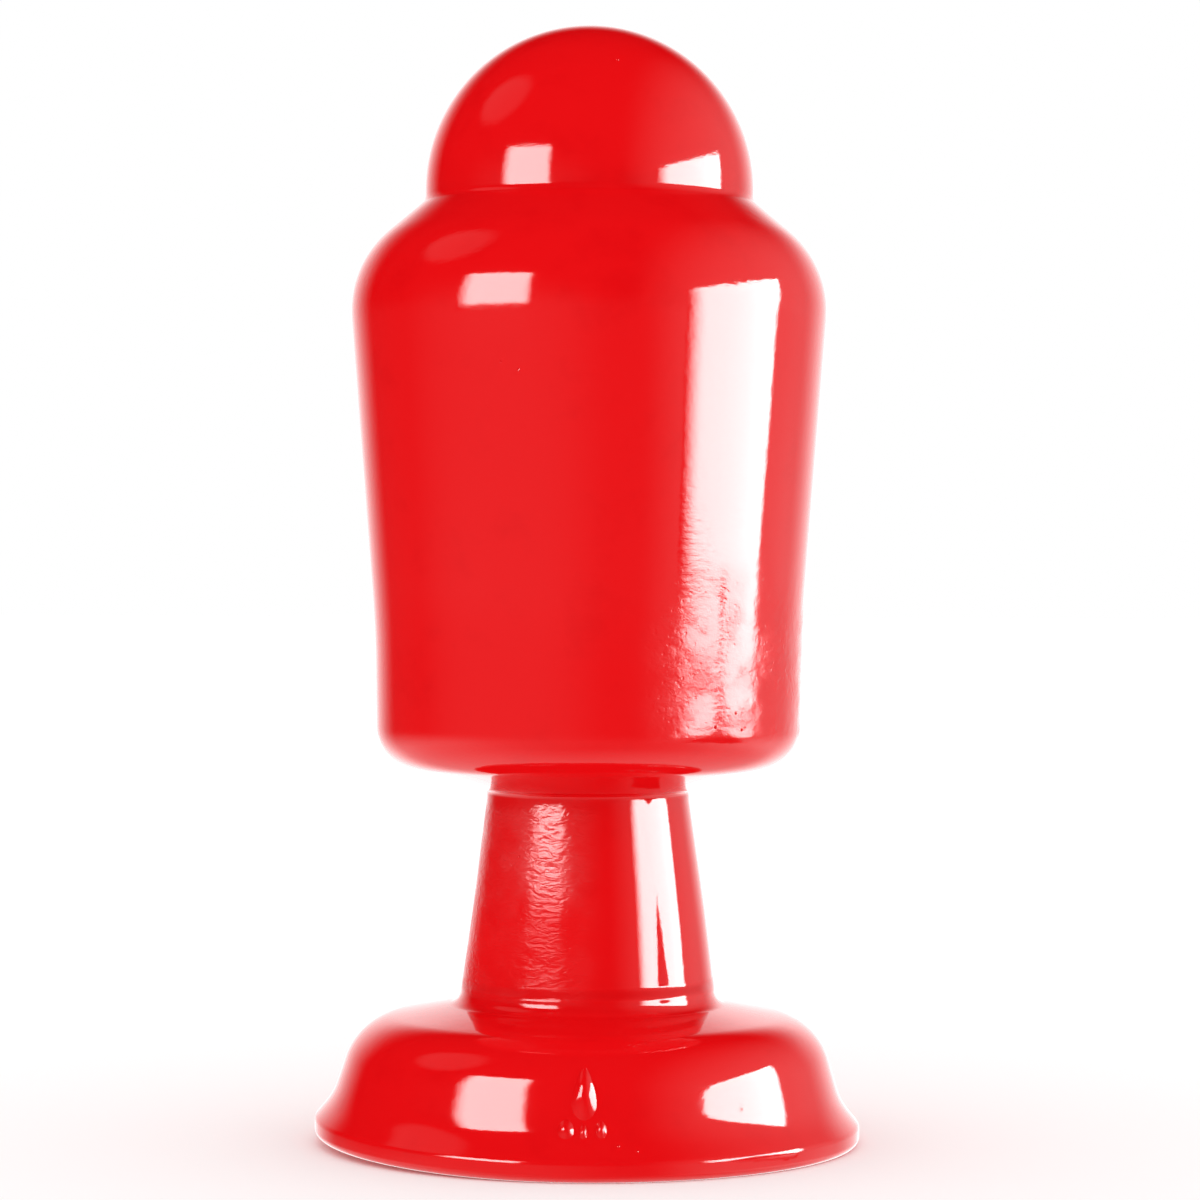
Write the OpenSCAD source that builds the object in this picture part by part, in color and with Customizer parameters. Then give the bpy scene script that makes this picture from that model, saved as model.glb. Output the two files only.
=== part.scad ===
// Adult toy plug: one solid soft-vinyl moulding, round about +Z, standing on its foot.
// Origin: centre of the resting face. Units: millimetres.
// From the bottom up it has a flared foot, a narrow neck, a tapered barrel and a dome.

/* [Dome] */
// Diameter of the dome
dome_d = 59; // [46:0.2:72]
// Height of the upright skirt between the dome's round top and the crease below it
dome_skirt = 1.9; // [1:0.1:8]
// Radius of that crease, where the dome meets the shoulder
crease_r = 2; // [0.6:0.2:4]

/* [Barrel] */
// Widest diameter of the barrel, at its shoulder
barrel_d = 85.4; // [78:0.2:104]
// Height of the barrel, from the top of the neck to the crease under the dome
barrel_h = 105.6; // [85:0.1:130]
// Fall of the shoulder from the crease outwards, in degrees
shoulder_slope = 40; // [20:0.5:50]
// Radius of the shoulder
shoulder_r = 18.6; // [10:0.2:22]
// Diameter at the waist, where the barrel's taper ends
waist_d = 76.6; // [66:0.1:84]
// Height of the waist above the top of the neck
waist_h = 29; // [20:0.1:45]
// Radius of the wall as it eases from the taper to the waist
waist_r = 220; // [20:10:300]
// Diameter of the barrel's lower corner
barrel_foot_d = 75.8; // [64:0.1:84]
// Radius of the barrel's lower corner
barrel_foot_r = 8; // [2:0.2:10]
// Rise of the barrel's underside from the neck outwards, in degrees
underside_slope = 16; // [2:0.5:25]

/* [Neck] */
// Height of the neck, between the foot and the barrel's underside
neck_h = 38; // [30:0.1:60]
// Diameter of the neck at its top
neck_top_d = 36.4; // [26:0.2:42]
// Height of the upright collar at the top of the neck
neck_collar_h = 1.6; // [1:0.1:8]
// Radius of the neck as it eases from the collar to its taper
neck_ease_r = 29; // [5:1:40]
// Diameter of the neck where it meets the foot
neck_foot_d = 46.2; // [32:0.1:50]
// Radius of the crease between the neck and the barrel
neck_crease_r = 2.4; // [0.2:0.1:3]
// Radius of the fillet between the neck and the foot
neck_fillet_r = 2.7; // [1:0.1:6]

/* [Foot] */
// Diameter of the foot over its rim
foot_d = 97.6; // [92:0.2:130]
// Height of the foot where the neck leaves it
foot_h = 25; // [22:0.1:36]
// Diameter of the foot's shoulder
foot_shoulder_d = 82.8; // [70:0.2:87]
// Fall of the foot's top from the neck to its shoulder
foot_top_fall = 3.4; // [2:0.1:8]
// Radius of the foot's shoulder
foot_shoulder_r = 11; // [4:0.1:14]
// Diameter where the foot's side starts to flare into the rim
flare_d = 91; // [86:0.2:92]
// Height where that flare starts
flare_h = 7.4; // [6:0.1:12]
// Radius of the flare
flare_r = 12; // [4:0.5:24]
// Height of the rim's upright edge
rim_h = 3.4; // [2:0.1:5]
// Radius of the rim's edges
rim_r = 1.4; // [0.3:0.1:1.8]
// Width of the flat ring that the foot rests on
rest_w = 8; // [4:0.5:16]
// Depth of the shallow sink in the underside
sink_h = 1.2; // [0.4:0.1:3]

/* [Hidden] */
$fn = 96;
// Largest turn from one point of a rounded corner to the next, in degrees
arc_step = 4;
vinyl_red = [0.88, 0.04, 0.08];

neck_top_z = foot_h + neck_h;
crease_z = neck_top_z + barrel_h;
top_z = crease_z + dome_skirt + dome_d / 2;
underside_rise = (barrel_foot_d - neck_top_d) / 2 * tan(underside_slope);
rest_r = foot_d / 2 - rest_w;

// The shoulder's round touches the shoulder's slope, the widest diameter and the taper below.
shoulder_x = barrel_d / 2 - shoulder_r;
shoulder_z = crease_z
    - (shoulder_r - (dome_d / 2 - shoulder_x) * sin(shoulder_slope)) / cos(shoulder_slope);
waist = [waist_d / 2, neck_top_z + waist_h];
taper = waist - [shoulder_x, shoulder_z];
slope_angle = 90 - shoulder_slope;
taper_angle = atan2(taper.y, taper.x) + acos(shoulder_r / norm(taper));
shoulder = [shoulder_x, shoulder_z]
    + shoulder_r / cos((slope_angle - taper_angle) / 2)
    * [cos((slope_angle + taper_angle) / 2), sin((slope_angle + taper_angle) / 2)];

// Sharp corners of half the outline from the top down, each as [radius, height, size of its round].
CORNERS = [
    [0, top_z, 0],
    [dome_d / 2, top_z, dome_d / 2],
    [dome_d / 2, crease_z, crease_r],
    [shoulder.x, shoulder.y, shoulder_r],
    [waist.x, waist.y, waist_r],
    [barrel_foot_d / 2, neck_top_z + underside_rise, barrel_foot_r],
    [neck_top_d / 2, neck_top_z, neck_crease_r],
    [neck_top_d / 2, neck_top_z - neck_collar_h, neck_ease_r],
    [neck_foot_d / 2, foot_h, neck_fillet_r],
    [foot_shoulder_d / 2, foot_h - foot_top_fall, foot_shoulder_r],
    [flare_d / 2, flare_h, flare_r],
    [foot_d / 2, rim_h, rim_r],
    [foot_d / 2, 0, rim_r],
    [rest_r, 0, 0],
    [0, sink_h, 0]
];

function place(i) = [CORNERS[i].x, CORNERS[i].y];

// Direction from corner i towards corner j
function heading(i, j) = (place(j) - place(i)) / norm(place(j) - place(i));

// Turn of the outline at corner i, in degrees
function turn(i) = (i == 0 || i == len(CORNERS) - 1)
    ? 0
    : 180 - acos(max(-1, min(1, heading(i, i - 1) * heading(i, i + 1))));

// Length of wall that corner i's round asks for on each side
function wanted(i) = CORNERS[i].z * tan(turn(i) / 2);

// Share of a wall's length left to the rounds at its two ends, at most all that they ask for
function share(i, j) = min(1, norm(place(j) - place(i)) / max(1e-6, wanted(i) + wanted(j)));

function reach(i) = wanted(i) * min(share(i, i - 1), share(i, i + 1));

// Corner i as the points of its round, or as itself where it has none
function rounded(i) = wanted(i) > 0 ? round_points(i, reach(i), turn(i)) : [place(i)];

function round_points(i, length, angle) =
    let (
        r = length / tan(angle / 2),
        inward = heading(i, i - 1) + heading(i, i + 1),
        centre = place(i) + inward / norm(inward) * norm([length, r]),
        start = place(i) + heading(i, i - 1) * length - centre,
        side = cross(heading(i - 1, i), heading(i, i + 1)) > 0 ? 1 : -1,
        steps = max(2, ceil(angle / arc_step))
    )
    [for (k = [0:steps]) centre + turned(start, side * angle * k / steps)];

function turned(v, angle) = [v.x * cos(angle) - v.y * sin(angle), v.x * sin(angle) + v.y * cos(angle)];

OUTLINE = [for (i = [0:len(CORNERS) - 1]) each rounded(i)];

module moulded_body() {
    color(vinyl_red) rotate_extrude() polygon(concat([[0, 0]], OUTLINE));
}

moulded_body();
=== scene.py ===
"""Looks of a solid soft-vinyl plug: one glossy red casting, its mould marks and a white studio."""

import math

import bpy
import numpy as np
from bpy.props import FloatProperty, FloatVectorProperty, IntProperty, PointerProperty
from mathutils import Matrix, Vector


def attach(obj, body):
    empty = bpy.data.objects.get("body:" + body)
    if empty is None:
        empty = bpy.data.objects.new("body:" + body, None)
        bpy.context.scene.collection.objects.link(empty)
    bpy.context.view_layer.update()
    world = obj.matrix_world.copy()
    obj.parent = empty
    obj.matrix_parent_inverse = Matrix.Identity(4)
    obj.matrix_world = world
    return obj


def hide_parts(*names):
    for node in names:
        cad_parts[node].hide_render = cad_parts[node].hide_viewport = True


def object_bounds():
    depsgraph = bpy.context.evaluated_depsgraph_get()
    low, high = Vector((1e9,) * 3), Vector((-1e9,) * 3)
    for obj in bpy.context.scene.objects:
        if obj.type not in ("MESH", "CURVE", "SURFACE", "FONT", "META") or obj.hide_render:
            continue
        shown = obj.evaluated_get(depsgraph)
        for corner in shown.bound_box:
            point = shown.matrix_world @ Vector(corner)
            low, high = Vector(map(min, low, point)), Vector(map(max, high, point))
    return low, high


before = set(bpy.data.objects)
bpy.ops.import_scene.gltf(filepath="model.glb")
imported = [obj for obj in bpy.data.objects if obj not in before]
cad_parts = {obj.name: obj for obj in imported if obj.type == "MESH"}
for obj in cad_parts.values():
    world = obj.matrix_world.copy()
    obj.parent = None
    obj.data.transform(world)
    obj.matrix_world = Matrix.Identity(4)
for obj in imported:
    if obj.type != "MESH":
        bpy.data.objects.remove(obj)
CAD_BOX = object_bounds()

bl_info = {
    "name": "Soft Vinyl Plug",
    "version": (1, 0, 0),
    "blender": (4, 5, 0),
    "location": "View3D > Sidebar > Vinyl Plug",
    "description": "Builds a glossy cast-vinyl plug, its mould marks and a plain studio around it",
    "category": "Add Mesh",
}

BODY_NODE = "moulded_body"
ROOT = "root"
MM = 0.001
FOOT_R = (CAD_BOX[1][0] - CAD_BOX[0][0]) / 2


def length(name, description, default_mm, **more):
    """A length property, given in millimetres and kept in metres."""
    return FloatProperty(
        name=name, description=description, default=default_mm * MM, unit="LENGTH", precision=5, **more
    )


def slope(name, description, default_degrees):
    """An angle property, given in degrees and kept in radians."""
    return FloatProperty(
        name=name, description=description, default=math.radians(default_degrees), subtype="ANGLE"
    )


class PlugSizes(bpy.types.PropertyGroup):
    """Driving sizes of the casting."""

    dome_d: length("Dome diameter", "Diameter of the dome", 59.0)
    dome_skirt: length("Dome skirt", "Upright wall between the dome's round top and its crease", 1.9)
    crease_r: length("Crease radius", "Radius of the crease under the dome", 2.0)
    barrel_d: length("Barrel diameter", "Widest diameter of the barrel, at its shoulder", 85.4)
    barrel_h: length("Barrel height", "Height from the top of the neck to the dome's crease", 105.6)
    shoulder_slope: slope("Shoulder slope", "Fall of the shoulder from the crease outwards", 40.0)
    shoulder_r: length("Shoulder radius", "Radius of the shoulder", 18.6)
    waist_d: length("Waist diameter", "Diameter where the barrel's taper ends", 76.6)
    waist_h: length("Waist height", "Height of the waist above the top of the neck", 29.0)
    waist_r: length("Waist radius", "Radius of the wall as its taper ends", 220.0)
    barrel_foot_d: length("Barrel foot diameter", "Diameter of the barrel's lower corner", 75.8)
    barrel_foot_r: length("Barrel foot radius", "Radius of the barrel's lower corner", 8.0)
    underside_slope: slope("Underside slope", "Rise of the barrel's underside from the neck outwards", 16.0)
    neck_h: length("Neck height", "Height of the neck, between the foot and the barrel", 38.0)
    neck_top_d: length("Neck top diameter", "Diameter of the neck at its top", 36.4)
    neck_collar_h: length("Collar height", "Upright collar at the top of the neck", 1.6)
    neck_ease_r: length("Neck easing radius", "Radius between the collar and the neck's taper", 29.0)
    neck_foot_d: length("Neck foot diameter", "Diameter of the neck where it meets the foot", 46.2)
    neck_crease_r: length("Neck crease radius", "Radius of the crease between neck and barrel", 2.4)
    neck_fillet_r: length("Neck fillet radius", "Radius of the fillet between neck and foot", 2.7)
    foot_h: length("Foot height", "Height of the foot where the neck leaves it", 25.0)
    foot_shoulder_d: length("Foot shoulder diameter", "Diameter of the foot's shoulder", 82.8)
    foot_top_fall: length("Foot top fall", "Fall of the foot's top from the neck to its shoulder", 3.4)
    foot_shoulder_r: length("Foot shoulder radius", "Radius of the foot's shoulder", 11.0)
    flare_d: length("Flare diameter", "Diameter where the foot's side flares into its rim", 91.0)
    flare_h: length("Flare height", "Height where the flare starts", 7.4)
    flare_r: length("Flare radius", "Radius of the flare", 12.0)
    rim_h: length("Rim height", "Height of the rim's upright edge", 3.4)
    rim_r: length("Rim radius", "Radius of the rim's edges", 1.4)
    rest_w: length("Rest width", "Width of the flat ring that the foot rests on", 8.0)
    sink_h: length("Sink depth", "Depth of the shallow sink in the underside", 1.2)


class CastingFlaws(bpy.types.PropertyGroup):
    """How far the soft casting strays from a true turned shape."""

    foot_lift: length("Foot lift", "Lift of the foot's left edge, where the soft rim curls up", 1.3)
    neck_shift: length("Neck shift", "Sideways drift of the neck's middle", 0.2)
    wobble: length("Wobble", "Out-of-round of the barrel and the foot", 0.06)
    mark_proud: length("Mark height", "How far the mould mark stands proud", 1.15)
    around: IntProperty(name="Steps around", description="Faces around the casting", default=384, min=48)
    row_h: length("Row height", "Longest face along the outline", 1.25, min=0.4 * MM)
    arc_step: slope("Arc step", "Longest turn of a face along a rounded corner", 4.0)


class VinylLook(bpy.types.PropertyGroup):
    """Colour and surface of the vinyl."""

    red: FloatVectorProperty(
        name="Vinyl red",
        description="Colour of the vinyl",
        subtype="COLOR",
        size=3,
        default=(0.83, 0.004, 0.006),
    )
    deep_red: FloatVectorProperty(
        name="Deep red",
        description="Colour of its darker clouds",
        subtype="COLOR",
        size=3,
        default=(0.79, 0.003, 0.005),
    )
    gloss: FloatProperty(
        name="Gloss roughness",
        description="Roughness of the clean skin",
        subtype="FACTOR",
        default=0.06,
        min=0,
        max=1,
    )
    dull: FloatProperty(
        name="Dull roughness",
        description="Roughness where the skin is mottled",
        subtype="FACTOR",
        default=0.26,
        min=0,
        max=1,
    )
    ripple_h: length("Ripple height", "Height of the ripples where the skin is mottled", 0.12)
    pit_h: length("Pit depth", "Depth of the small pits in the skin", 0.03)


class StudioSettings(bpy.types.PropertyGroup):
    """Camera, floor and lights."""

    lens: FloatProperty(name="Lens", description="Focal length", unit="CAMERA", default=115.25)
    distance: length("Camera distance", "Level distance from the body's axis to the camera", 690.0)
    camera_h: length("Camera height", "Height of the camera above the floor", 104.9)
    aim_h: length("Aim height", "Height of the point that the camera looks at", 100.0)
    roll: slope("Roll", "Turn of the camera about its own line of sight", 0.18)
    shift_x: FloatProperty(name="Shift X", description="Sideways framing shift", default=0.0094, precision=4)
    shift_y: FloatProperty(name="Shift Y", description="Upright framing shift", default=-0.0134, precision=4)
    fill: FloatProperty(name="Fill light", description="Strength of the even light", default=1.04)
    key: FloatProperty(name="Key strength", description="Strength of the right softbox", default=20.0)
    side: FloatProperty(name="Side strength", description="Strength of the left softbox", default=14.0)
    sweep: FloatProperty(name="Sweep strength", description="Brightness of the sweep behind", default=2.1)
    floor_r: length("Floor radius", "Radius of the floor", 6000.0)


# ---- outline -----------------------------------------------------------------------------------


def shoulder_corner(s, crease_z, waist):
    """Sharp corner of the shoulder: where the crease's slope meets the taper, both touching one round.

    The round touches the widest diameter, so its centre is one radius in from it. The taper leaves the
    waist point and touches the same round, and the corner is where the two tangents cross.
    """
    centre_x = s.barrel_d / 2 - s.shoulder_r
    drop = s.shoulder_r - (s.dome_d / 2 - centre_x) * math.sin(s.shoulder_slope)
    centre = np.array([centre_x, crease_z - drop / math.cos(s.shoulder_slope)])
    taper = waist - centre
    low = math.atan2(taper[1], taper[0]) + math.acos(s.shoulder_r / np.hypot(*taper))
    high = math.pi / 2 - s.shoulder_slope
    out = s.shoulder_r / math.cos((high - low) / 2)
    return centre + out * np.array([math.cos((high + low) / 2), math.sin((high + low) / 2)])


def outline_corners(s):
    """Sharp corners of half the outline from the underside up, as (radius, height, size of the round)."""
    neck_top = s.foot_h + s.neck_h
    crease_z = neck_top + s.barrel_h
    top = crease_z + s.dome_skirt + s.dome_d / 2
    rest = FOOT_R - s.rest_w
    waist = np.array([s.waist_d / 2, neck_top + s.waist_h])
    shoulder = shoulder_corner(s, crease_z, waist)
    rise = (s.barrel_foot_d - s.neck_top_d) / 2 * math.tan(s.underside_slope)
    return np.array(
        [
            (0, s.sink_h, 0),
            (rest, 0, 0),
            (FOOT_R, 0, s.rim_r),
            (FOOT_R, s.rim_h, s.rim_r),
            (s.flare_d / 2, s.flare_h, s.flare_r),
            (s.foot_shoulder_d / 2, s.foot_h - s.foot_top_fall, s.foot_shoulder_r),
            (s.neck_foot_d / 2, s.foot_h, s.neck_fillet_r),
            (s.neck_top_d / 2, neck_top - s.neck_collar_h, s.neck_ease_r),
            (s.neck_top_d / 2, neck_top, s.neck_crease_r),
            (s.barrel_foot_d / 2, neck_top + rise, s.barrel_foot_r),
            (waist[0], waist[1], s.waist_r),
            (shoulder[0], shoulder[1], s.shoulder_r),
            (s.dome_d / 2, crease_z, s.crease_r),
            (s.dome_d / 2, top, s.dome_d / 2),
            (0, top, 0),
        ]
    )


def unit(v):
    return v / np.linalg.norm(v)


def rounded_outline(corners, arc_step, row_h):
    """The outline's points, as (radius, height): each corner's round as an arc, and straight walls between.

    A round of radius r that turns the outline by t leaves both walls at r * tan(t / 2) from its corner.
    Where two rounds ask for more than the wall between them, each gives way in proportion.
    """
    places = corners[:, :2]
    walls = np.diff(places, axis=0)
    lengths = np.linalg.norm(walls, axis=1)
    headings = walls / lengths[:, None]
    turns = np.arccos(np.clip((headings[:-1] * headings[1:]).sum(1), -1, 1))
    wanted = np.r_[0, corners[1:-1, 2] * np.tan(turns / 2), 0]
    share = np.minimum(1, lengths / np.maximum(1e-9, wanted[:-1] + wanted[1:]))
    reach = wanted[1:-1] * np.minimum(share[:-1], share[1:])
    stretches = [places[:1]]
    for i, (turn, span) in enumerate(zip(turns, reach), start=1):
        if span <= 0:
            stretches.append(places[i : i + 1])
            continue
        radius = span / math.tan(turn / 2)
        inward = unit(headings[i] - headings[i - 1])
        centre = places[i] + inward * math.hypot(span, radius)
        start = places[i] - headings[i - 1] * span - centre
        side = math.copysign(1, headings[i - 1][0] * headings[i][1] - headings[i - 1][1] * headings[i][0])
        steps = max(2, math.ceil(turn / arc_step), math.ceil(turn * radius / row_h))
        angles = side * turn * np.arange(steps + 1) / steps
        stretches.append(
            centre
            + np.stack(
                [
                    start[0] * np.cos(angles) - start[1] * np.sin(angles),
                    start[0] * np.sin(angles) + start[1] * np.cos(angles),
                ],
                axis=1,
            )
        )
    stretches.append(places[-1:])
    return fill_walls(np.concatenate(stretches), row_h)


def fill_walls(points, row_h):
    """The same outline with its long straight walls cut into rows no taller than row_h."""
    points = points[np.r_[True, np.linalg.norm(np.diff(points, axis=0), axis=1) > 1e-7]]
    gaps = np.linalg.norm(np.diff(points, axis=0), axis=1)
    along = np.r_[0, np.cumsum(gaps)]
    counts = np.maximum(1, np.ceil(gaps / row_h)).astype(int)
    index = np.repeat(np.arange(len(gaps)), counts)
    step = np.arange(counts.sum()) - np.repeat(np.cumsum(counts) - counts, counts)
    cut = along[index] + gaps[index] * step / counts[index]
    cut = np.r_[cut, along[-1]]
    return np.stack([np.interp(cut, along, points[:, 0]), np.interp(cut, along, points[:, 1])], axis=1)


# ---- surface -----------------------------------------------------------------------------------


def smooth(edge_low, edge_high, value):
    """0 below edge_low, 1 above edge_high, and a smooth S between."""
    t = np.clip((value - edge_low) / (edge_high - edge_low), 0, 1)
    return t * t * (3 - 2 * t)


def cast_surface(radius, height, azimuth, s, flaws):
    """Points of the casting at outline points (radius, height) and azimuths, measured from +X.

    A turned surface with three slow departures: a wobble of the radius, which is the sum of a wave twice
    round and a wave three times round less its own peak, so that it only takes away, the neck's middle
    drifting to +X, and the soft rim curling up towards -X with the square of the distance from the middle.
    """
    oval, three_sided = 1.0, 0.6
    wave = oval * np.cos(2 * azimuth + 0.9) + three_sided * np.cos(3 * azimuth - 0.4 + height / (40 * MM))
    inner = np.clip(radius / (30 * MM), 0, 1) * smooth(6 * MM, 30 * MM, height)
    r = radius + flaws.wobble * (wave - oval - three_sided) * inner
    x = r * np.cos(azimuth)
    y = r * np.sin(azimuth)
    neck_middle = s.foot_h + 0.45 * s.neck_h
    drift = flaws.neck_shift * np.exp(-(((height - neck_middle) / (0.35 * s.neck_h)) ** 2))
    low = 1 - smooth(0.25 * s.foot_h, 0.8 * s.foot_h, height)
    curl = flaws.foot_lift * np.clip(-x / FOOT_R, 0, 1) ** 2 * low
    return np.stack([x + drift, y, height + curl], axis=-1)


def grid_faces(rows, around):
    """Quads between the rings of a closed tube of points, ring by ring from below."""
    ring = np.arange(rows - 1)[:, None] * around
    here = np.arange(around)[None, :]
    beside = (here + 1) % around
    above = ring + around
    return np.stack([ring + here, ring + beside, above + beside, above + here], -1).reshape(-1, 4)


def closed_tube(name, rings, low_pole, high_pole):
    """A mesh of rings of points, rows x around x 3, closed by a fan of triangles at each pole."""
    rows, around = rings.shape[:2]
    points = np.concatenate([rings.reshape(-1, 3), [low_pole], [high_pole]])
    here = np.arange(around)
    beside = (here + 1) % around
    low = np.stack([beside, here, np.full(around, rows * around)], 1)
    last = (rows - 1) * around
    high = np.stack([last + here, last + beside, np.full(around, rows * around + 1)], 1)
    quads = grid_faces(rows, around)
    return mesh_object(name, points, quads, np.concatenate([low, high]))


def mesh_object(name, points, quads, triangles):
    """A smooth-shaded mesh object from arrays of points, quads and triangles."""
    mesh = bpy.data.meshes.new(name)
    mesh.vertices.add(len(points))
    mesh.vertices.foreach_set("co", points.astype(np.float32).ravel())
    corners = np.concatenate([quads.ravel(), triangles.ravel()])
    sizes = np.concatenate([np.full(len(quads), 4), np.full(len(triangles), 3)])
    mesh.loops.add(len(corners))
    mesh.loops.foreach_set("vertex_index", corners.astype(np.int32))
    mesh.polygons.add(len(sizes))
    mesh.polygons.foreach_set("loop_start", (np.cumsum(sizes) - sizes).astype(np.int32))
    mesh.polygons.foreach_set("use_smooth", np.ones(len(sizes), bool))
    mesh.update(calc_edges=True)
    mesh.validate()
    made = bpy.data.objects.new(name, mesh)
    bpy.context.scene.collection.objects.link(made)
    return made


def measured_outline(s, flaws):
    """The casting's outline, and the distance along it of each point from the underside's middle."""
    outline = rounded_outline(outline_corners(s), flaws.arc_step, flaws.row_h)
    return outline, np.r_[0, np.cumsum(np.linalg.norm(np.diff(outline, axis=0), axis=1))]


def pebble(name, spot, half_width, half_length, proud, taper, s, flaws):
    """A low closed bump on the casting: a lens with a swelling upper side and a lower side sunk in the wall.

    spot is (azimuth, distance along the outline). In polar steps (q, a) the lens is half_width * q * cos(a)
    around and half_length * q * sin(a) up, and it stands proud * (1 - q^2)^1.3 above the wall less a small
    sink, so its edge dips below the wall. taper narrows it upwards, as a drop.
    """
    wall = measured_outline(s, flaws)
    upper_rings, ring_points = 14, 48
    q = np.r_[np.linspace(0.08, 1, upper_rings), 0.6, 0.2][:, None]
    under = np.arange(len(q))[:, None] >= upper_rings
    a = np.linspace(0, 2 * math.pi, ring_points, endpoint=False)[None, :]
    up = half_length * q * np.sin(a)
    across = half_width * q * np.cos(a) * (1 - taper * smooth(-1, 1, np.sin(a) * q))
    sink = 0.12 * proud
    lift = np.where(under, -proud, proud * (1 - q**2) ** 1.3 - sink)
    rings = lifted(spot, across, up, lift, wall, s, flaws)
    middle = np.zeros((2, 1))
    ends = lifted(spot, middle, middle, np.array([[-proud], [proud - sink]]), wall, s, flaws)
    return closed_tube(name, rings[::-1], ends[0, 0], ends[1, 0])


def lifted(spot, across, up, lift, wall, s, flaws):
    """Points off the casting's wall near a spot.

    across and up are distances over the wall, and lift is out along its normal, which is square to the
    outline's heading taken over a short step to each side.
    """
    azimuth, along = spot
    outline, distance = wall
    step = 0.3 * MM

    def at(d):
        return np.interp(d, distance, outline[:, 0]), np.interp(d, distance, outline[:, 1])

    radius, height = at(along + up)
    ahead, behind = at(along + up + step), at(along + up - step)
    run, rise = ahead[0] - behind[0], ahead[1] - behind[1]
    size = np.hypot(run, rise)
    turned = azimuth + across / radius
    outward = rise / size
    normal = np.stack([outward * np.cos(turned), outward * np.sin(turned), -run / size + 0 * turned], -1)
    return cast_surface(radius, height, turned, s, flaws) + normal * (lift + 0 * turned)[..., None]


def place_pebble(context, name, spot, half_width, half_length, proud, taper=0.0):
    """Put one pebble of the shared vinyl on the casting."""
    scene = context.scene
    made = pebble(name, spot, half_width, half_length, proud, taper, scene.plug_sizes, scene.plug_flaws)
    made.data.materials.append(shared_vinyl(context))
    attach(made, ROOT)


# ---- materials ---------------------------------------------------------------------------------


def maths(tree, operation, first, second=None, third=None, clamp=False):
    """A Math node; sockets are linked and numbers are set."""
    made = tree.nodes.new("ShaderNodeMath")
    made.operation = operation
    made.use_clamp = clamp
    for slot_index, value in enumerate((first, second, third)):
        if value is None:
            continue
        if isinstance(value, bpy.types.NodeSocket):
            tree.links.new(value, made.inputs[slot_index])
        else:
            made.inputs[slot_index].default_value = value
    return made.outputs[0]


def band(tree, value, low, high):
    """A smooth step of a socket: 0 at low and 1 at high."""
    made = tree.nodes.new("ShaderNodeMapRange")
    made.interpolation_type = "SMOOTHSTEP"
    tree.links.new(value, made.inputs["Value"])
    made.inputs["From Min"].default_value = low
    made.inputs["From Max"].default_value = high
    return made.outputs["Result"]


def product(tree, first, *others):
    """Several sockets or numbers multiplied together, starting from a socket."""
    for other in others:
        first = maths(tree, "MULTIPLY", first, other)
    return first


def noise(tree, vector, scale, detail=3.0, roughness=0.5, distortion=0.0):
    """Noise from about 0.3 to 0.7 at a vector, with its scale in waves to the metre."""
    made = tree.nodes.new("ShaderNodeTexNoise")
    made.inputs["Scale"].default_value = scale
    made.inputs["Detail"].default_value = detail
    made.inputs["Roughness"].default_value = roughness
    made.inputs["Distortion"].default_value = distortion
    tree.links.new(vector, made.inputs["Vector"])
    return made.outputs["Fac"]


def stretched(tree, vector, scale):
    """The vector multiplied by a scale for each axis."""
    made = tree.nodes.new("ShaderNodeVectorMath")
    made.operation = "MULTIPLY"
    tree.links.new(vector, made.inputs[0])
    made.inputs[1].default_value = scale
    return made.outputs[0]


def worn_places(tree, place, s):
    """Where the skin isn't plain, as masks: barrel, worn, crumpled, dulled and lip.

    worn lies in patches low on the right of the barrel. crumpled lies in patches on the left of the neck,
    and dulled is the lower part of that side. lip is everything below a line round the neck just above the
    foot, where the skin steps out a little.
    """
    xyz = tree.nodes.new("ShaderNodeSeparateXYZ")
    tree.links.new(place, xyz.inputs[0])
    x, height = xyz.outputs["X"], xyz.outputs["Z"]
    neck_top = s.foot_h + s.neck_h
    patches = band(tree, noise(tree, place, 140.0, detail=2.0), 0.36, 0.6)
    barrel = band(tree, height, neck_top + 2 * MM, neck_top + 8 * MM)
    worn = product(
        tree,
        barrel,
        band(tree, height, neck_top + 0.44 * s.barrel_h, neck_top + 0.2 * s.barrel_h),
        band(tree, height, neck_top + 9 * MM, neck_top + 11 * MM),
        band(tree, x, 6 * MM, 14 * MM),
        maths(tree, "MULTIPLY_ADD", patches, 0.65, 0.35),
    )
    neck_left = product(
        tree,
        band(tree, height, s.foot_h + 1 * MM, s.foot_h + 4 * MM),
        band(tree, height, neck_top, neck_top - 4 * MM),
        band(tree, x, 4 * MM, -3 * MM),
    )
    crumpled = product(tree, neck_left, maths(tree, "MULTIPLY_ADD", patches, 0.5, 0.5))
    dulled = product(tree, neck_left, band(tree, height, s.foot_h + 24 * MM, s.foot_h + 15 * MM))
    lip = band(tree, height, s.foot_h + 4.8 * MM, s.foot_h + 2.3 * MM)
    return barrel, worn, crumpled, dulled, lip


def slanting_streaks(tree, place):
    """Fine long streaks that climb to one side, as wiped into the skin."""
    turned = tree.nodes.new("ShaderNodeMapping")
    turned.inputs["Rotation"].default_value = (0, math.radians(-38), 0)
    turned.inputs["Scale"].default_value = (0.12, 0.6, 1.0)
    tree.links.new(place, turned.inputs["Vector"])
    return noise(tree, turned.outputs["Vector"], 1500.0, detail=2.0)


def pinholes(tree, place):
    """Small round dots, 1 in their middles and 0 between them."""
    cells = tree.nodes.new("ShaderNodeTexVoronoi")
    cells.feature = "F1"
    cells.inputs["Scale"].default_value = 650.0
    tree.links.new(place, cells.inputs["Vector"])
    return band(tree, cells.outputs["Distance"], 0.26, 0.1)


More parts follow.
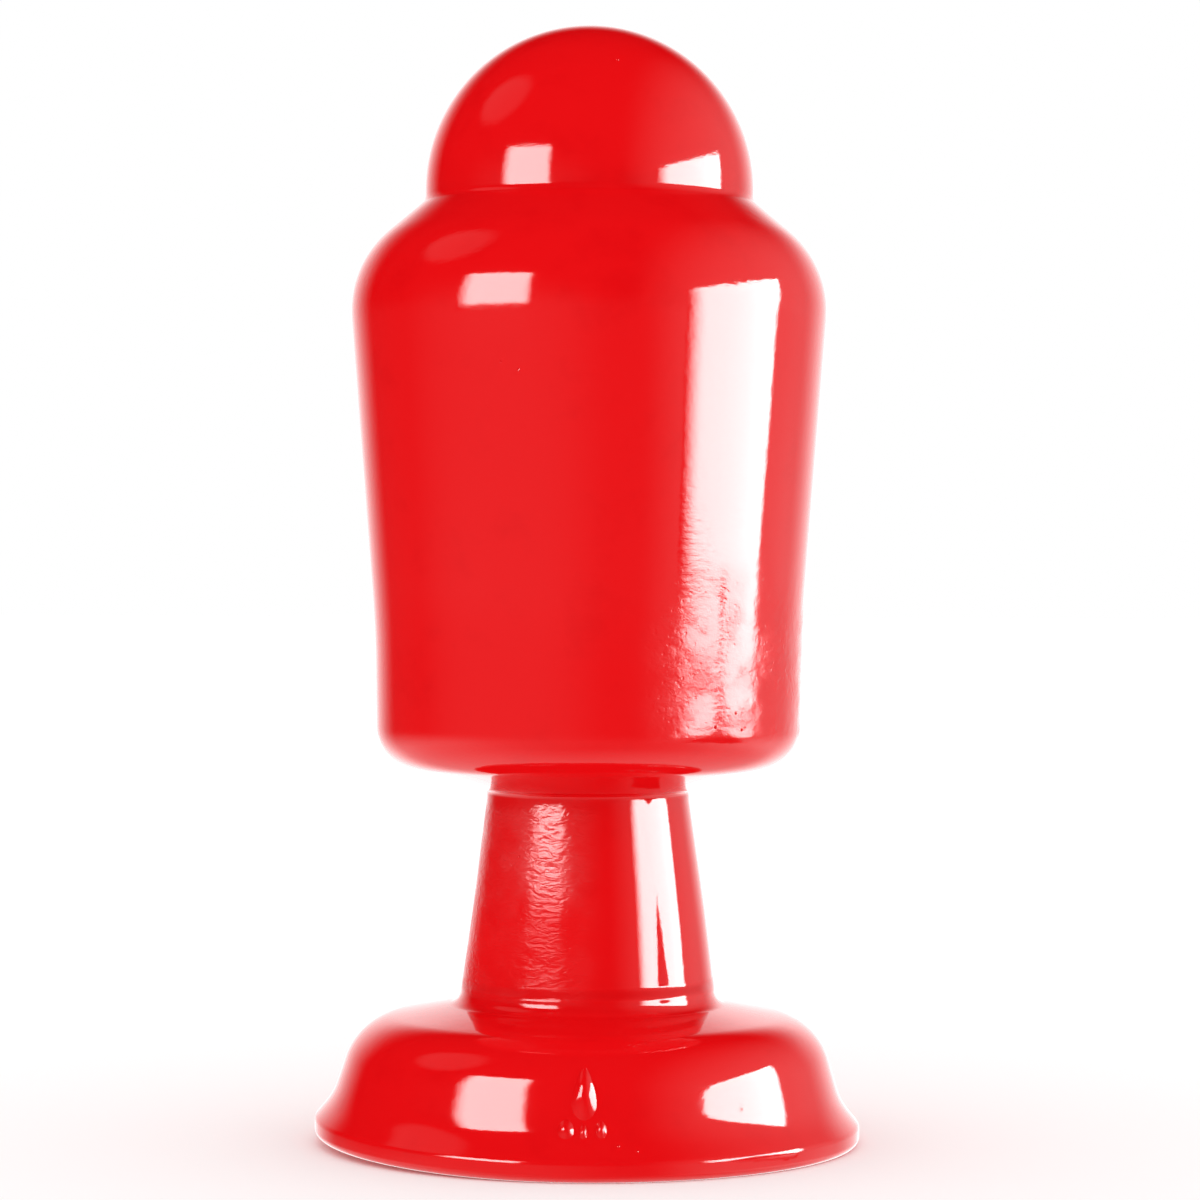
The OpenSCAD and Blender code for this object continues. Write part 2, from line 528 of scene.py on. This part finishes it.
def skin_relief(tree, place, look, places):
    """Height of the skin in millimetres: slow waves and fine grain all over, and more in the worn places."""
    barrel, worn, crumpled, _, lip = places
    slow = noise(tree, place, 75.0, detail=1.0)
    grain = noise(tree, place, 700.0, detail=2.0)
    wide = stretched(tree, place, (1.0, 1.0, 1.5))
    ripples = noise(tree, wide, 480.0, detail=3.0, roughness=0.6, distortion=0.5)
    folds = noise(tree, stretched(tree, place, (0.55, 0.55, 1.3)), 600.0, detail=2.0, distortion=1.2)
    streaked = product(tree, barrel, band(tree, noise(tree, place, 45.0, detail=1.0), 0.42, 0.62))
    relief = product(tree, slow, 0.03)
    for wave, where, depth in (
        (grain, 1.0, 0.01),
        (ripples, worn, look.ripple_h / MM),
        (folds, crumpled, 1.5 * look.ripple_h / MM),
        (lip, 1.0, 0.95),
        (slanting_streaks(tree, place), streaked, 0.016),
        (pinholes(tree, place), worn, -look.pit_h / MM),
    ):
        relief = maths(tree, "MULTIPLY_ADD", product(tree, wave, where), depth, relief)
    return relief


def vinyl_material(look, s):
    """Glossy cast vinyl: faint clouds in the red, a nearly smooth skin, and rougher, duller worn places."""
    material = bpy.data.materials.new("glossy red vinyl")
    material.use_nodes = True
    tree = material.node_tree
    shader = tree.nodes["Principled BSDF"]
    shader.inputs["IOR"].default_value = 1.5
    place = tree.nodes.new("ShaderNodeTexCoord").outputs["Object"]
    places = worn_places(tree, place, s)
    _, worn, crumpled, dulled, _ = places

    clouds = noise(tree, place, 90.0, detail=4.0, roughness=0.6)
    colour = tree.nodes.new("ShaderNodeMix")
    colour.data_type = "RGBA"
    colour.inputs["A"].default_value = (*look.red, 1)
    colour.inputs["B"].default_value = (*look.deep_red, 1)
    tree.links.new(band(tree, clouds, 0.5, 0.75), colour.inputs["Factor"])
    tree.links.new(colour.outputs["Result"], shader.inputs["Base Color"])

    bump = tree.nodes.new("ShaderNodeBump")
    bump.inputs["Distance"].default_value = MM
    tree.links.new(skin_relief(tree, place, look, places), bump.inputs["Height"])
    tree.links.new(bump.outputs["Normal"], shader.inputs["Normal"])

    rough = tree.nodes.new("ShaderNodeMapRange")
    tree.links.new(maths(tree, "MAXIMUM", worn, crumpled), rough.inputs["Value"])
    rough.inputs["To Min"].default_value = look.gloss
    rough.inputs["To Max"].default_value = look.dull
    tree.links.new(rough.outputs["Result"], shader.inputs["Roughness"])

    worn_shine = maths(tree, "MULTIPLY_ADD", worn, -0.22, 0.5)
    shine = maths(tree, "MULTIPLY_ADD", dulled, -0.4, worn_shine)
    tree.links.new(shine, shader.inputs["Specular IOR Level"])
    return material


def floor_material():
    """Plain white sweep paper, lifted a little so that it reads as white under the even light."""
    material = bpy.data.materials.new("white sweep")
    material.use_nodes = True
    shader = material.node_tree.nodes["Principled BSDF"]
    shader.inputs["Base Color"].default_value = (0.95, 0.95, 0.95, 1)
    shader.inputs["Roughness"].default_value = 0.9
    shader.inputs["Specular IOR Level"].default_value = 0.0
    shader.inputs["Emission Color"].default_value = (1, 1, 1, 1)
    shader.inputs["Emission Strength"].default_value = 0.06
    return material


def cloth_material():
    """Near-black cloth."""
    material = bpy.data.materials.new("dark cloth")
    material.use_nodes = True
    shader = material.node_tree.nodes["Principled BSDF"]
    shader.inputs["Base Color"].default_value = (0.02, 0.01, 0.01, 1)
    return material


def card_material(name, strength, feather):
    """An even glow that fades towards a card's edges, from the card's own UV.

    feather holds the shares of the card over which it fades at its near, far, low and high edges.
    """
    material = bpy.data.materials.new(name)
    material.use_nodes = True
    tree = material.node_tree
    tree.nodes.clear()
    out = tree.nodes.new("ShaderNodeOutputMaterial")
    glow = tree.nodes.new("ShaderNodeEmission")
    uv = tree.nodes.new("ShaderNodeSeparateXYZ")
    tree.links.new(tree.nodes.new("ShaderNodeTexCoord").outputs["UV"], uv.inputs[0])
    left, right, low, high = feather
    u, v = uv.outputs["X"], uv.outputs["Y"]
    sides = product(tree, band(tree, u, 0, left), band(tree, u, 1, 1 - right))
    ends = product(tree, band(tree, v, 0, low), band(tree, v, 1, 1 - high))
    tree.links.new(product(tree, sides, ends, strength), glow.inputs["Strength"])
    tree.links.new(glow.outputs[0], out.inputs["Surface"])
    return material


# ---- stage -------------------------------------------------------------------------------------


def compass(degrees):
    """Level direction at an angle from the camera's side (-Y) towards +X."""
    a = math.radians(degrees)
    return np.array([math.sin(a), -math.cos(a), 0.0])


def reflected_sheet(name, facing, distance, corners, material):
    """A flat upright sheet that only reflections see.

    Its plane is square to the compass angle facing, at a distance from the axis, and its corners are
    (distance sideways, height) in that plane.
    """
    out = compass(facing) * distance
    side = compass(facing + 90)
    mesh = bpy.data.meshes.new(name)
    points = [tuple(out + side * x + np.array([0, 0, z])) for x, z in corners]
    mesh.from_pydata(points, [], [tuple(range(len(points)))])
    mesh.materials.append(material)
    sheet = bpy.data.objects.new(name, mesh)
    bpy.context.scene.collection.objects.link(sheet)
    sheet.visible_camera = False
    sheet.visible_diffuse = False
    sheet.visible_shadow = False
    sheet.visible_transmission = False
    return sheet


def light_card(name, facing, distance, sides, heights, strength, feather, lean=0.0):
    """A glowing card between two distances sideways and two heights, its far edge set back by lean below."""
    near, far = sides
    low, high = heights
    corners = ((near, low), (far - lean, low), (far, high), (near, high))
    card = reflected_sheet(name, facing, distance, corners, card_material(name, strength, feather))
    uv = card.data.uv_layers.new(name="UVMap")
    uv.data.foreach_set("uv", [0, 0, 1, 0, 1, 1, 0, 1])
    return card


def dark_flag():
    """A small dark peak off to the right, which splits the right highlight low on the neck."""
    corners = ((-0.105, -0.02), (0.085, -0.02), (-0.012, 0.075))
    return reflected_sheet("flag", facing=72, distance=0.24, corners=corners, material=cloth_material())


def toward(tree, direction, azimuth, elevation):
    """Cosine between a direction and a compass angle raised by an elevation."""
    e = math.radians(elevation)
    made = tree.nodes.new("ShaderNodeVectorMath")
    made.operation = "DOT_PRODUCT"
    tree.links.new(direction, made.inputs[0])
    made.inputs[1].default_value = compass(azimuth) * math.cos(e) + np.array([0, 0, math.sin(e)])
    return made.outputs["Value"]


def weighed(tree, first, second, share):
    """Two sockets scaled so that share 0 keeps the first and share 1 keeps the second."""
    rest = maths(tree, "SUBTRACT", 1.0, share)
    return maths(tree, "MULTIPLY", first, rest), maths(tree, "MULTIPLY", second, share)


def room_glow(tree, direction, sweep):
    """Brightness of the room that reflections see in a direction: a dim front and a white sweep behind.

    Behind is the sweep, wider and brighter on the right. On the right stands a wall, with a lit floor below
    it. The floor is bright below and to the back, the left front has a faint spill of light, and a small
    bright place hangs high on the left.
    """
    xyz = tree.nodes.new("ShaderNodeSeparateXYZ")
    tree.links.new(direction, xyz.inputs[0])
    x, y, z = xyz.outputs
    back_left = product(tree, band(tree, y, 0.62, 1.0), 0.62 * sweep)
    back_right = product(tree, band(tree, y, 0.58, 1.0), 0.75 * sweep)
    back = maths(tree, "ADD", *weighed(tree, back_left, back_right, band(tree, x, -0.1, 0.25)))
    wall = product(tree, band(tree, x, 0.3, 1.1), band(tree, z, -0.12, 0.02))
    spill = product(tree, band(tree, toward(tree, direction, -45, -7), 0.55, 1.0), band(tree, z, 0.5, -0.1))
    round_left = maths(tree, "MULTIPLY_ADD", band(tree, y, -0.9, 0.1), 0.85, 0.16)
    lit_floor = product(tree, band(tree, x, 0.4, 0.9), band(tree, z, 0.0, -0.1), band(tree, z, -0.6, -0.3))
    glow = product(tree, band(tree, z, 0.15, -0.2), 0.1)
    for part, weight in (
        (product(tree, back, band(tree, z, 0.62, 0.25)), 1.0),
        (wall, 0.95),
        (spill, 0.22),
        (product(tree, band(tree, z, -0.08, -0.45), round_left), 1.0),
        (band(tree, z, -0.6, -0.85), 0.2),
        (lit_floor, 0.8),
        (band(tree, toward(tree, direction, -95, 47), 0.955, 0.985), 0.32),
    ):
        glow = maths(tree, "MULTIPLY_ADD", part, weight, glow)
    return glow


def mixed_value(tree, share, first, second):
    """A number that is first where share is 0 and second where it is 1."""
    mix = tree.nodes.new("ShaderNodeMix")
    mix.data_type = "FLOAT"
    tree.links.new(share, mix.inputs[0])
    for slot_index, value in ((2, first), (3, second)):
        if isinstance(value, bpy.types.NodeSocket):
            tree.links.new(value, mix.inputs[slot_index])
        else:
            mix.inputs[slot_index].default_value = value
    return mix.outputs[0]


def studio_world(studio):
    """White for the eye, even for soft light, and the room's glow for reflections."""
    world = bpy.data.worlds.new("white studio")
    bpy.context.scene.world = world
    world.use_nodes = True
    tree = world.node_tree
    tree.nodes.clear()
    direction = tree.nodes.new("ShaderNodeTexCoord").outputs["Generated"]
    path = tree.nodes.new("ShaderNodeLightPath")
    glow = room_glow(tree, direction, studio.sweep)
    lit = mixed_value(tree, path.outputs["Is Glossy Ray"], studio.fill, glow)
    background = tree.nodes.new("ShaderNodeBackground")
    background.inputs["Color"].default_value = (1, 1, 1, 1)
    tree.links.new(mixed_value(tree, path.outputs["Is Camera Ray"], lit, 1.0), background.inputs["Strength"])
    out = tree.nodes.new("ShaderNodeOutputWorld")
    tree.links.new(background.outputs[0], out.inputs["Surface"])
    return world


def floor_disc(radius):
    """A level disc under the plug, seen by the eye and by soft light but not by reflections."""
    steps = 128
    a = np.linspace(0, 2 * math.pi, steps, endpoint=False)
    ring = np.stack([radius * np.cos(a), radius * np.sin(a), 0 * a], 1)
    points = np.concatenate([ring, [[0, 0, 0]]])
    here = np.arange(steps)
    fan = np.stack([here, (here + 1) % steps, np.full(steps, steps)], 1)
    disc = mesh_object("floor", points, np.zeros((0, 4), int), fan)
    disc.data.materials.append(floor_material())
    disc.visible_glossy = False
    return disc


def aim_camera(studio):
    """A long lens on the -Y side, looking slightly down at the body's middle."""
    data = bpy.data.cameras.new("camera")
    data.lens = studio.lens
    data.sensor_width = 36
    data.shift_x = studio.shift_x
    data.shift_y = studio.shift_y
    data.clip_end = 100
    camera = bpy.data.objects.new("camera", data)
    bpy.context.scene.collection.objects.link(camera)
    camera.location = (0, -studio.distance, studio.camera_h)
    down = math.atan2(studio.camera_h - studio.aim_h, studio.distance)
    camera.rotation_euler = (math.pi / 2 - down, -studio.roll, 0)
    bpy.context.scene.camera = camera
    return camera


# ---- operators ---------------------------------------------------------------------------------


class PLUG_OT_body(bpy.types.Operator):
    """Build the casting itself, from its foot to its dome"""

    bl_idname = "plug.body"
    bl_label = "Vinyl body"

    def execute(self, context):
        s = context.scene.plug_sizes
        flaws = context.scene.plug_flaws
        outline, _ = measured_outline(s, flaws)
        azimuth = np.linspace(0, 2 * math.pi, flaws.around, endpoint=False)[None, :]
        rows = outline[1:-1]
        rings = cast_surface(rows[:, :1], rows[:, 1:], azimuth, s, flaws)
        low, high = (cast_surface(p[0], p[1], np.array(0.0), s, flaws) for p in (outline[0], outline[-1]))
        body = closed_tube("vinyl_body", rings, low, high)
        body.data.materials.append(shared_vinyl(context))
        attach(body, ROOT)
        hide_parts(BODY_NODE)
        return {"FINISHED"}


class PLUG_OT_marks(bpy.types.Operator):
    """Build the small raised marks that the mould leaves on the front of the foot"""

    bl_idname = "plug.marks"
    bl_label = "Mould marks"

    def execute(self, context):
        s = context.scene.plug_sizes
        flaws = context.scene.plug_flaws
        outline, distance = measured_outline(s, flaws)
        flare = distance[np.argmin(np.hypot(outline[:, 0] - s.flare_d / 2, outline[:, 1] - s.flare_h))]
        front = -math.pi / 2
        # Each as (name, mm to the right, mm up, half width, half length, share of the height, taper)
        marks = (
            ("mould_mark_drop", -0.5, 7.4, 3.0, 5.2, 1.0, 0.6),
            ("mould_mark_left", -3.6, 1.2, 1.7, 1.9, 0.7, 0.2),
            ("mould_mark_middle", -0.6, 0.8, 0.9, 1.4, 0.5, 0.2),
            ("mould_mark_right", 2.4, 1.2, 1.1, 1.7, 0.6, 0.2),
        )
        for name, right, up, half_width, half_length, share, taper in marks:
            spot = (front + right * MM / (s.flare_d / 2), flare + up * MM)
            proud = share * flaws.mark_proud
            place_pebble(context, name, spot, half_width * MM, half_length * MM, proud, taper)
        return {"FINISHED"}


class PLUG_OT_nibs(bpy.types.Operator):
    """Build the tiny raised nibs scattered over the casting"""

    bl_idname = "plug.nibs"
    bl_label = "Nibs"

    def execute(self, context):
        s = context.scene.plug_sizes
        outline, distance = measured_outline(s, context.scene.plug_flaws)
        outside = outline[:, 1] > s.sink_h
        # Each as (name, degrees to the right of the front, height in mm, half width in mm)
        nibs = (
            ("nib_dome", 13.5, 191.5, 0.3),
            ("nib_barrel_left", -21.2, 137.9, 0.25),
            ("nib_barrel_front", -16.8, 136.5, 0.3),
            ("nib_low_a", 35.2, 75.7, 0.4),
            ("nib_low_b", 42.0, 78.0, 0.3),
            ("nib_low_c", 44.3, 75.1, 0.35),
            ("nib_neck", -39.2, 52.1, 0.35),
            ("nib_foot_a", 6.5, 6.0, 0.35),
            ("nib_foot_b", 10.3, 5.2, 0.3),
        )
        for name, right, height, half_width in nibs:
            along = np.interp(height * MM, outline[outside, 1], distance[outside])
            spot = (math.radians(right) - math.pi / 2, along)
            size = half_width * MM
            place_pebble(context, name, spot, size, size, 0.7 * size)
        return {"FINISHED"}


class PLUG_OT_stage(bpy.types.Operator):
    """Set the floor, the lights, the white surroundings and the camera"""

    bl_idname = "plug.stage"
    bl_label = "Studio"

    def execute(self, context):
        studio = context.scene.plug_studio
        floor_disc(studio.floor_r)
        studio_world(studio)
        light_card(
            "key",
            facing=100.5,
            distance=0.8,
            sides=(-1.12, 0.085),
            heights=(-0.12, 0.425),
            strength=studio.key,
            feather=(0.3, 0.04, 0.18, 0.015),
            lean=0.15,
        )
        light_card(
            "side",
            facing=-35,
            distance=0.5,
            sides=(-0.28, 0.075),
            heights=(0.118, 0.405),
            strength=studio.side,
            feather=(0.25, 0.1, 0.11, 0.06),
        )
        dark_flag()
        aim_camera(studio)
        view = context.scene.view_settings
        view.view_transform = "Standard"
        view.look = "None"
        return {"FINISHED"}


def shared_vinyl(context):
    """The one vinyl material that every piece of the casting carries."""
    found = bpy.data.materials.get("glossy red vinyl")
    return found or vinyl_material(context.scene.plug_look, context.scene.plug_sizes)


class PLUG_PT_panel(bpy.types.Panel):
    """Lists the builders in the 3D view's sidebar"""

    bl_idname = "PLUG_PT_panel"
    bl_label = "Vinyl Plug"
    bl_space_type = "VIEW_3D"
    bl_region_type = "UI"
    bl_category = "Vinyl Plug"

    def draw(self, context):
        for builder in BUILDERS:
            self.layout.operator(builder.bl_idname)


SETTINGS = {
    "plug_sizes": PlugSizes,
    "plug_flaws": CastingFlaws,
    "plug_look": VinylLook,
    "plug_studio": StudioSettings,
}
BUILDERS = (PLUG_OT_body, PLUG_OT_marks, PLUG_OT_nibs, PLUG_OT_stage)


def register():
    for group in SETTINGS.values():
        bpy.utils.register_class(group)
    for name, group in SETTINGS.items():
        setattr(bpy.types.Scene, name, PointerProperty(type=group))
    for cls in (*BUILDERS, PLUG_PT_panel):
        bpy.utils.register_class(cls)


def unregister():
    for cls in (PLUG_PT_panel, *reversed(BUILDERS)):
        bpy.utils.unregister_class(cls)
    for name in SETTINGS:
        delattr(bpy.types.Scene, name)
    for group in reversed(list(SETTINGS.values())):
        bpy.utils.unregister_class(group)


def main():
    register()
    bpy.ops.plug.body()
    bpy.ops.plug.marks()
    bpy.ops.plug.nibs()
    bpy.ops.plug.stage()


if __name__ == "__main__":
    main()
